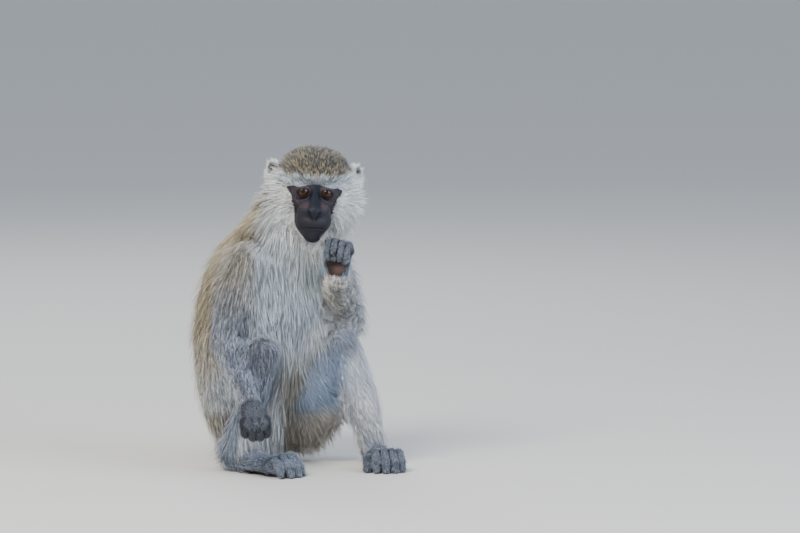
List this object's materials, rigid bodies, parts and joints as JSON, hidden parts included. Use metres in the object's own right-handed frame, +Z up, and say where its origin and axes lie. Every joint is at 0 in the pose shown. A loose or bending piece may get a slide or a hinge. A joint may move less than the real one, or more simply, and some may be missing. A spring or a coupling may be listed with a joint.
{
  "type": "vervet monkey",
  "caption": "Life-size still model of a vervet monkey sitting on the ground with its knees drawn up, left hand raised to the chin and right hand hanging before the shin.",
  "frame": {"origin": "middle of the flat under the rump that the animal sits on, at floor level", "axes": "+Z up. The face looks along -Y. +X is the animal's left as it faces -Y; the trunk faces between -Y and +X. The tail lies on the floor along +Y."},
  "size_m": [0.2483, 0.4992, 0.3644],
  "materials": {
    "head_coat": "soft fur, grizzled olive-buff crown, white brow and cheeks",
    "back_coat": "soft fur, grizzled buff-grey back, white front",
    "limb_coat": "soft fur, pepper-and-salt grey outside, white inside",
    "tail_coat": "soft short fur, grey with a dark tip",
    "hand_skin": "blackish skin under short grey fur",
    "ear_skin": "matt black skin",
    "eye": "wet, orange-brown iris"
  },
  "bodies": {
    "root": {"head": "head_coat", "neck": "head_coat", "trunk": "back_coat", "tail_base": "tail_coat", "tail_middle": "tail_coat", "tail_tip": "tail_coat", "ear_left": "ear_skin", "ear_right": "ear_skin", "eye_left": "eye", "eye_right": "eye", "upper_arm_left": "limb_coat", "upper_arm_right": "limb_coat", "forearm_left": "limb_coat", "forearm_right": "limb_coat", "hand_left": "hand_skin", "hand_right": "hand_skin", "thigh_left": "limb_coat", "thigh_right": "limb_coat", "shin_left": "limb_coat", "shin_right": "limb_coat", "foot_left": "hand_skin", "foot_right": "hand_skin"}
  },
  "joints": []
}
